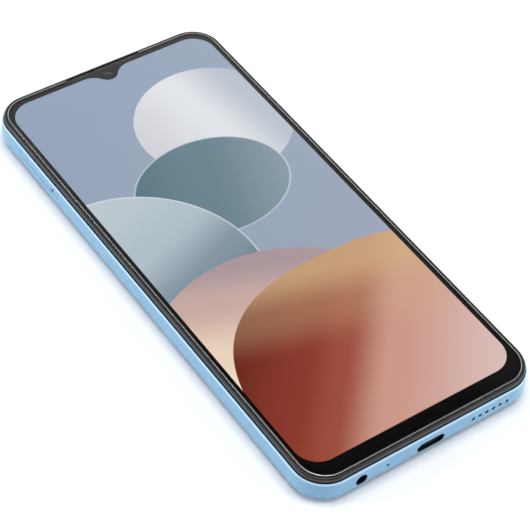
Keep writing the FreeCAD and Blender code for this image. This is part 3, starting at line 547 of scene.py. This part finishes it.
def moulded_black():
    """Black moulded plastic with a spark-eroded texture."""
    return fine_surface("moulded_black", srgb(27, 28, 30), 0.55, spread=0.15, grain=3500.0,
                        bump=0.006 * MM).material


def soft_rubber(name, colour=srgb(24, 24, 25)):
    """Matt rubber or foam."""
    return fine_surface(name, colour, 0.82, grain=2200.0, bump=0.008 * MM).material


def camera_plate_finish():
    """Polished dark plate with a faint blue cast, and turned metal on the lens rings."""
    shader = Shader("camera_plate_finish")
    dark = srgb(22, 28, 38)
    drift = shader.noise(60.0, 4.0)
    plate = shader.mix(drift, shaded(dark, 0.9), shaded(dark, 1.1))
    ring = shader.math("LESS_THAN", shader.height(), RING_FOOT)
    turned = shader.noise(2500.0, 2.0)
    metal = shader.mix(turned, srgb(96, 106, 122), srgb(122, 132, 148))
    shader.set(Base_Color=shader.mix(ring, plate, metal),
               Metallic=shader.math("MULTIPLY", ring, 0.9),
               Roughness=shader.math("MULTIPLY_ADD", ring, 0.16, shader.span(drift, 0.08, 0.14)))
    shader.coat(0.8, 0.04)
    shader.bump(turned, 0.0005 * MM)
    return shader.material


def flash_diffuser():
    """Pale ribbed diffuser over the flash, rings cut in its height."""
    shader = Shader("flash_diffuser")
    low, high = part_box("flash_window")
    ring_pitch = 0.32 * MM
    radius = (high.x - low.x) / 2
    away = shader.vector("DISTANCE", shader.place(), (low + high) / 2, output="Value")
    rings = shader.math("SINE", shader.math("MULTIPLY", away, 2 * math.pi / ring_pitch))
    warm = shader.ramp(shader.math("MULTIPLY", away, 1 / radius),
                       [(0.0, srgb(250, 232, 150)), (0.45, srgb(244, 240, 220)),
                        (1.0, srgb(226, 228, 226))])
    shader.set(Base_Color=warm, Roughness=0.18, Coat_Weight=1.0)
    shader.bump(rings, 0.03 * MM)
    return shader.material


def woven_wire():
    """Fine dark wire cloth."""
    shader = Shader("woven_wire")
    wire_pitch = 0.16 * MM
    turns = 2 * math.pi / wire_pitch
    split = shader.add("ShaderNodeSeparateXYZ", {0: shader.place()})
    across = shader.math("SINE", shader.math("MULTIPLY", split.outputs[0], turns))
    upward = shader.math("SINE", shader.math("MULTIPLY", split.outputs[1], turns))
    lift = shader.math("MAXIMUM", across, upward)
    shader.set(Base_Color=shader.mix(shader.span(lift, 0.0, 1.0), srgb(12, 12, 13),
                                     srgb(78, 80, 84)),
               Metallic=0.7, Roughness=shader.span(shader.noise(900.0), 0.4, 0.5))
    shader.bump(lift, 0.03 * MM)
    return shader.material


def milky_plastic(name, colour):
    """Smooth pale plastic."""
    return fine_surface(name, colour, 0.35, spread=0.03, grain=1500.0, bump=0.001 * MM).material


# ---------------------------------------------------------------- the picture on the display

EDGE_BLUR = 0.12 * MM
PEBBLE_POWER = 2.6
PIXEL_GRAIN = 6000.0


def disc_mask(shader, centre, radius, squash=1.0):
    """1 inside a disc, or an ellipse squashed upright, with a soft edge. Also how far out it is."""
    moved = shader.vector("SUBTRACT", shader.place(), centre)
    away = shader.vector("LENGTH", shader.vector("MULTIPLY", moved, (1.0, squash, 0.0)),
                         output="Value")
    inside = shader.math("SUBTRACT", radius, away)
    return shader.math("MULTIPLY_ADD", inside, 1 / EDGE_BLUR, 0.5, clamp=True), away


def slope(shader, start, end):
    """0 at the start point and 1 at the end point, along the line between them."""
    along = end - start
    moved = shader.vector("SUBTRACT", shader.place(), start)
    share = shader.vector("DOT_PRODUCT", moved, along / along.length_squared, output="Value")
    return shader.math("ADD", share, 0.0, clamp=True)


def on_display(x, y):
    """A place on the display, in millimetres from the middle of the lit area."""
    return ACTIVE_MIDDLE + Vector((x * MM, y * MM, 0.0))


def pebble_mask(shader, centre, half):
    """1 inside a rounded squarish pebble that reaches half to each side."""
    moved = shader.vector("SUBTRACT", shader.place(), centre)
    size = shader.vector("ABSOLUTE", shader.vector("MULTIPLY", moved, (1 / half, 1 / half, 0.0)))
    split = shader.add("ShaderNodeSeparateXYZ", {0: size})
    total = shader.math("ADD", shader.math("POWER", split.outputs[0], PEBBLE_POWER),
                        shader.math("POWER", split.outputs[1], PEBBLE_POWER))
    reach = shader.math("POWER", total, 1 / PEBBLE_POWER)
    inside = shader.math("SUBTRACT", 1.0, reach)
    return shader.math("MULTIPLY_ADD", inside, half / EDGE_BLUR, 0.5, clamp=True)


def rim_line(shader, away, radius, width):
    """1 on a thin line just inside a disc's edge, fading inward."""
    inside = shader.math("SUBTRACT", radius, away)
    return shader.math("MULTIPLY_ADD", inside, -1 / width, 1.0, clamp=True)


def pale_disc(shader, colour):
    disc, _ = disc_mask(shader, on_display(16, 42), 24 * MM, 1.05)
    tone = shader.ramp(slope(shader, on_display(-8, 44), on_display(44, 50)),
                       [(0.0, srgb(212, 211, 216)), (0.45, srgb(226, 227, 231)),
                        (0.75, srgb(186, 194, 204)), (1.0, srgb(150, 164, 178))])
    return shader.mix(disc, colour, tone)


def teal_oval(shader, colour):
    radius = 24 * MM
    oval, away = disc_mask(shader, on_display(1, 20), radius, 1.30)
    tone = shader.ramp(slope(shader, on_display(-24, 32), on_display(26, 8)),
                       [(0.0, srgb(84, 113, 124)), (0.45, srgb(100, 127, 140)),
                        (1.0, srgb(136, 155, 166))])
    tone = shader.mix(rim_line(shader, away, radius, 0.7 * MM), tone, srgb(208, 219, 224))
    return shader.mix(oval, colour, tone)


def silver_disc(shader, colour):
    radius = 36 * MM
    disc, away = disc_mask(shader, on_display(-38, -4), radius)
    tone = shader.ramp(slope(shader, on_display(-26, 30), on_display(-8, -16)),
                       [(0.0, srgb(190, 200, 206)), (0.4, srgb(178, 192, 200)),
                        (0.75, srgb(128, 147, 160)), (1.0, srgb(98, 120, 134))])
    tone = shader.mix(rim_line(shader, away, radius, 0.6 * MM), tone, srgb(222, 229, 232))
    return shader.mix(disc, colour, tone)


def cream_disc(shader, colour):
    disc, _ = disc_mask(shader, on_display(-14, -50), 43.5 * MM)
    tone = shader.ramp(slope(shader, on_display(-16, -6), on_display(-34, -52)),
                       [(0.0, srgb(172, 150, 154)), (0.3, srgb(205, 172, 164)),
                        (0.65, srgb(240, 214, 190)), (1.0, srgb(252, 232, 208))])
    return shader.mix(disc, colour, tone)


def warm_pebble(shader, colour):
    """Red to pink across the pebble, and sand towards its top."""
    pebble = pebble_mask(shader, on_display(12, -66), 48 * MM)
    warm = shader.ramp(slope(shader, on_display(-27, -27), on_display(31, -80)),
                       [(0.0, srgb(104, 36, 22)), (0.28, srgb(140, 56, 42)),
                        (0.42, srgb(160, 78, 60)), (0.58, srgb(208, 154, 138)),
                        (1.0, srgb(222, 192, 186))])
    top = shader.ramp(slope(shader, on_display(4, -50), on_display(12, -22)),
                      [(0.0, (0, 0, 0, 1)), (0.5, (0.35, 0.35, 0.35, 1)), (1.0, (1, 1, 1, 1))])
    tone = shader.mix(shader.math("MULTIPLY", top, 0.8), warm, srgb(212, 172, 128))
    return shader.mix(pebble, colour, tone)


def display_picture():
    """A plain abstract picture that glows: overlapping discs and a warm pebble on slate blue."""
    shader = Shader("display_picture")
    colour = shader.ramp(slope(shader, on_display(-30, 70), on_display(34, -30)),
                         [(0.0, srgb(146, 161, 184)), (0.5, srgb(152, 165, 185)),
                          (1.0, srgb(157, 166, 184))])
    for add_shape in (pale_disc, teal_oval, silver_disc, cream_disc, warm_pebble):
        colour = add_shape(shader, colour)
    grain = shader.noise(PIXEL_GRAIN, 1.0)
    shader.set(Base_Color=(0, 0, 0, 1), Roughness=0.4, Specular_IOR_Level=0.05,
               Emission_Color=colour, Emission_Strength=shader.span(grain, 1.04, 1.13))
    return shader.material


# ---------------------------------------------------------------- display pieces

def panel_outline():
    """The panel's round-cornered outline, cut in at the top round the front lens."""
    corner = PANEL_CORNER
    notch = arc((FRONT_LENS.x, FRONT_LENS.y), PANEL_NOTCH, 0, -180)
    points = arc((PANEL_HIGH.x - corner, PANEL_LOW.y + corner), corner, -90, 0)
    points += arc((PANEL_HIGH.x - corner, PANEL_HIGH.y - corner), corner, 0, 90)
    points += [Vector((notch[0].x, PANEL_HIGH.y, 0))] + notch
    points += [Vector((notch[-1].x, PANEL_HIGH.y, 0))]
    points += arc((PANEL_LOW.x + corner, PANEL_HIGH.y - corner), corner, 90, 180)
    points += arc((PANEL_LOW.x + corner, PANEL_LOW.y + corner), corner, 180, 270)
    return points


def border_openings():
    """The lit area, the front lens and the earpiece slot, which runs out at the glass's edge."""
    lens_hole = circle_outline((FRONT_LENS.x, FRONT_LENS.y), LENS_OPENING)
    slot_low, slot_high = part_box("earpiece_mesh")
    slot = rounded(slot_low - Vector((SLOT_MARGIN, SLOT_MARGIN, 0)),
                   slot_high + Vector((SLOT_MARGIN, 0, 0)), SLOT_CORNER, 6)
    return [active_outline(), lens_hole, slot]


def make_display():
    """From the glass down: printed border, picture, panel."""
    border_high = GLASS_LOW.z - PRINT_GAP
    border_low = border_high - PRINT_THICKNESS
    picture_high = border_low - PRINT_GAP
    picture_low = picture_high - PICTURE_THICKNESS
    panel_high = picture_low - PRINT_GAP

    panel_material = fine_surface("panel_edge", srgb(38, 42, 48), 0.3, bump=0.001 * MM).material
    mesh = plate_mesh("display_panel", panel_outline(), [], PANEL_LOW.z, panel_high)
    piece("display_panel", mesh, panel_material, replaced=["lcd_cell"])

    mesh = plate_mesh("display_image", active_outline(PICTURE_MARGIN), [], picture_low, picture_high)
    piece("display_image", mesh, display_picture())

    inset = Vector((BORDER_INSET, BORDER_INSET, 0))
    outer = rounded(GLASS_LOW + inset, GLASS_HIGH - inset, GLASS_CORNER - BORDER_INSET)
    mesh = plate_mesh("glass_border", outer, border_openings(), border_low, border_high)
    piece("glass_border", mesh, printed_border())


# ---------------------------------------------------------------- cameras

def barrel_profile(radius, low, high):
    """Rings that step inward and upward from the barrel's mouth. Also the inner radius and level."""
    profile = [(0.0, high), (radius, high), (radius, low)]
    width = radius * RING_SHARE / BARREL_RINGS
    inner = radius
    level = low
    for _ in range(BARREL_RINGS):
        inner -= width * RING_FLAT
        profile.append((inner, level))
        level += RING_DROP
        inner -= width * (1 - RING_FLAT)
        profile.append((inner, level - RING_SLANT))
    profile.append((inner, level + BARREL_FLOOR))
    profile.append((0.0, level + BARREL_FLOOR))
    return profile, inner, level


def dome_profile(mouth, level):
    """A domed element that bulges towards -Z and fills the barrel's mouth."""
    profile = [(0.0, level + DOME_FOOT), (mouth * DOME_FIT, level + DOME_FOOT)]
    for step in range(DOME_STEPS + 1):
        angle = math.pi / 2 * step / DOME_STEPS
        profile.append((mouth * DOME_SHARE * math.cos(angle),
                        level + DOME_SPRING - DOME_RISE * mouth * math.sin(angle)))
    profile[-1] = (0.0, profile[-1][1])
    return profile


def crown_profile(radius, low, high):
    """A flat-backed lens with a low crown towards +Z."""
    profile = [(0.0, low), (radius, low), (radius, high - CROWN_HEIGHT)]
    for step in range(CROWN_STEPS + 1):
        angle = math.pi / 2 * step / CROWN_STEPS
        profile.append((radius * CROWN_SHARE * math.cos(angle),
                        high - CROWN_HEIGHT * (1 - math.sin(angle))))
    profile[-1] = (0.0, high)
    return profile


def make_lenses():
    """The main camera's barrel and element, seen from the back, and the front camera's lens."""
    barrel_black = fine_surface("barrel_black", srgb(16, 16, 18), 0.35, grain=2000.0).material
    coated = coated_lens()

    low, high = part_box("main_lens_barrel")
    centre = (low + high) / 2
    profile, mouth, level = barrel_profile((high.x - low.x) / 2, low.z, high.z)
    piece("main_lens_barrel", lathe_mesh("main_lens_barrel", profile, centre), barrel_black,
          "focus_barrel", ["main_lens_barrel"], smooth=30)
    mesh = lathe_mesh("main_lens_element", dome_profile(mouth, level), centre)
    piece("main_lens_element", mesh, coated, "focus_barrel", smooth=60)

    profile = crown_profile((LENS_HIGH.x - LENS_LOW.x) / 2, LENS_LOW.z, LENS_HIGH.z)
    piece("front_lens", lathe_mesh("front_lens", profile, FRONT_LENS), coated,
          replaced=["front_camera_lens"], smooth=50)


# ---------------------------------------------------------------- connector

def bars_mesh(name, boxes):
    """Several closed bars in one mesh, each from a low corner to a high corner."""
    mesh = bpy.data.meshes.new(name)
    shape = bmesh.new()
    faces = ((0, 1, 3, 2), (4, 5, 7, 6), (0, 1, 5, 4), (2, 3, 7, 6), (0, 2, 6, 4), (1, 3, 7, 5))
    for low, high in boxes:
        corners = [shape.verts.new((x, y, z)) for z in (low[2], high[2])
                   for y in (low[1], high[1]) for x in (low[0], high[0])]
        for face in faces:
            shape.faces.new([corners[index] for index in face])
    bmesh.ops.recalc_face_normals(shape, faces=shape.faces)
    shape.to_mesh(mesh)
    shape.free()
    return mesh


def make_usb_contacts(gold):
    """Twelve plated contacts on each face of the connector's tongue."""
    low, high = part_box("usb_c_tongue")
    shell_low, shell_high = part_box("usb_c_shell")
    middle_x, middle_z = (shell_low.x + shell_high.x) / 2, (shell_low.z + shell_high.z) / 2
    boxes = []
    for index in range(CONTACT_COUNT):
        x = middle_x + (index - (CONTACT_COUNT - 1) / 2) * CONTACT_PITCH
        for face in (-1, 1):
            near = middle_z + face * TONGUE_HALF
            far = near + face * CONTACT_THICKNESS
            boxes.append(((x - CONTACT_WIDTH / 2, low.y + CONTACT_SETBACK, min(near, far)),
                          (x + CONTACT_WIDTH / 2, low.y + CONTACT_LENGTH, max(near, far))))
    piece("usb_c_contacts", bars_mesh("usb_c_contacts", boxes), gold)


# ---------------------------------------------------------------- finishes of the CAD nodes

def finish_nodes():
    """Give each CAD node the finish of its material slot."""
    gold = gold_plate()
    black = moulded_black()
    by_slot = {
        "blue_housing": housing_paint(),
        "black_rim": rim_finish(),
        "cover_glass": clear_glass(),
        "display_cell": black,
        "light_guide": milky_plastic("light_guide", srgb(236, 240, 242)),
        "steel": brushed_steel(),
        "gold": gold,
        "board": circuit_board(),
        "chip": chip_epoxy(),
        "flex": flex_film(),
        "battery_film": foil_wrap("battery_foil", srgb(54, 56, 60)),
        "graphite": foil_wrap("graphite_foil", srgb(48, 49, 51)),
        "adhesive": soft_rubber("foam_tape"),
        "black_plastic": black,
        "rubber": soft_rubber("seal_rubber"),
        "camera_plate": camera_plate_finish(),
        "lens_glass": lens_glass(),
        "flash_lens": flash_diffuser(),
        "cable": soft_rubber("cable_jacket", srgb(40, 40, 44)),
        "white_plastic": milky_plastic("white_plastic", srgb(212, 213, 210)),
        "mesh": woven_wire(),
    }
    for entry in frame["record"]["subparts"]:
        thing = nodes[entry["node"]]
        for slot in thing.material_slots:
            slot.material = by_slot[entry["material_slot"]]
    make_usb_contacts(gold)


# ---------------------------------------------------------------- studio

CAMERA_PLACE = Vector((-234.42, -296.90, 409.19)) * MM
CAMERA_TARGET = Vector((-4.16, -11.95, 9.5)) * MM
CAMERA_ROLL = math.radians(5.633)
CAMERA_LENS = 133.79
SENSOR = 36.0
CLIP_START = 10 * MM
CLIP_END = 20.0

FLOOR_HALF = 6.0
FLOOR_CORNER = 1.0
FLOOR_TOP = -0.05 * MM
FLOOR_DEPTH = 10 * MM

# brightness of the surroundings by height (0 level, 1 overhead) and by facing (1 the camera's side)
HEIGHT_GLOW = ((0.0, 0.90), (0.60, 0.85), (0.67, 0.52), (0.72, 0.26), (0.77, 0.03), (0.86, 0.03),
               (0.95, 0.9))
FACING_GLOW = ((0.15, 1.0), (0.65, 0.10))

# softboxes: name, place, size, power in watts, whether shiny surfaces mirror it
SIDE_BOX = 0.8
TOP_BOX = 1.1
SOFTBOXES = (
    ("left_back", (-1.15, 0.85, 0.82), SIDE_BOX, 2.5, True),
    ("left_back_fill", (-1.17, 0.87, 0.51), SIDE_BOX, 7.5, False),
    ("right_front", (0.83, -1.07, 0.85), SIDE_BOX, 1.2, True),
    ("right_front_fill", (1.07, -0.87, 0.43), SIDE_BOX, 7.5, False),
    ("overhead", (0.0, 0.0, 1.6), TOP_BOX, 4.0, True),
    ("overhead_fill", (0.0, 0.0, 1.62), TOP_BOX, 12.0, False),
)


def make_camera():
    """Above the phone's lower left corner, looking at its middle."""
    data = bpy.data.cameras.new("camera")
    data.lens = CAMERA_LENS
    data.sensor_width = SENSOR
    data.clip_start = CLIP_START
    data.clip_end = CLIP_END
    camera = bpy.data.objects.new("camera", data)
    scene.collection.objects.link(camera)
    camera.location = CAMERA_PLACE
    look = (CAMERA_TARGET - CAMERA_PLACE).to_track_quat("-Z", "Y").to_matrix()
    camera.rotation_euler = (look @ Matrix.Rotation(CAMERA_ROLL, 3, "Z")).to_euler()
    scene.camera = camera


def make_floor():
    """A plain white sheet just under the phone."""
    shader = Shader("floor_paint")
    tone = shader.noise(6.0, 2.0)
    shader.set(Base_Color=shader.mix(tone, srgb(250, 250, 251), srgb(252, 252, 252)),
               Roughness=0.9)
    outline = rounded((-FLOOR_HALF, -FLOOR_HALF), (FLOOR_HALF, FLOOR_HALF), FLOOR_CORNER, 8)
    mesh = plate_mesh("floor", outline, [], -FLOOR_DEPTH, FLOOR_TOP)
    floor = bpy.data.objects.new("floor", mesh)
    scene.collection.objects.link(floor)
    mesh.materials.append(shader.material)


def soft_light(name, place, size, power, mirrored):
    """A square softbox that faces the phone. One that isn't mirrored only adds soft fill."""
    data = bpy.data.lights.new(name, "AREA")
    data.shape = "SQUARE"
    data.size = size
    data.energy = power
    light = bpy.data.objects.new(name, data)
    scene.collection.objects.link(light)
    light.location = place
    light.rotation_euler = (-Vector(place)).to_track_quat("-Z", "Y").to_euler()
    light.visible_glossy = mirrored
    light.visible_transmission = mirrored


def glow_band(tree, source, stops):
    """Brightness as a function of one value, from (value, brightness) stops."""
    node = tree.nodes.new("ShaderNodeValToRGB")
    band = node.color_ramp
    while len(band.elements) < len(stops):
        band.elements.new(0.5)
    for element, (position, level) in zip(band.elements, stops):
        element.position = position
        element.color = (level, level, level, 1.0)
    tree.links.new(source, node.inputs[0])
    return node.outputs[0]


def make_world():
    """Dim where the glass mirrors it and behind the camera, bright round the sides and above."""
    world = bpy.data.worlds.new("studio")
    scene.world = world
    world.use_nodes = True
    tree = world.node_tree
    tree.nodes.clear()
    output = tree.nodes.new("ShaderNodeOutputWorld")
    glow = tree.nodes.new("ShaderNodeBackground")
    place = tree.nodes.new("ShaderNodeTexCoord").outputs["Generated"]
    split = tree.nodes.new("ShaderNodeSeparateXYZ")
    facing = tree.nodes.new("ShaderNodeVectorMath")
    facing.operation = "DOT_PRODUCT"
    facing.inputs[1].default_value = Vector((CAMERA_PLACE.x, CAMERA_PLACE.y, 0)).normalized()
    tree.links.new(place, split.inputs[0])
    tree.links.new(place, facing.inputs[0])
    product = tree.nodes.new("ShaderNodeMath")
    product.operation = "MULTIPLY"
    tree.links.new(glow_band(tree, split.outputs[2], HEIGHT_GLOW), product.inputs[0])
    tree.links.new(glow_band(tree, facing.outputs["Value"], FACING_GLOW), product.inputs[1])
    tree.links.new(product.outputs[0], glow.inputs["Color"])
    tree.links.new(glow.outputs[0], output.inputs["Surface"])


make_camera()
make_world()
for softbox in SOFTBOXES:
    soft_light(*softbox)
make_floor()
scene.view_settings.view_transform = "Standard"

finish_nodes()
make_display()
make_lenses()
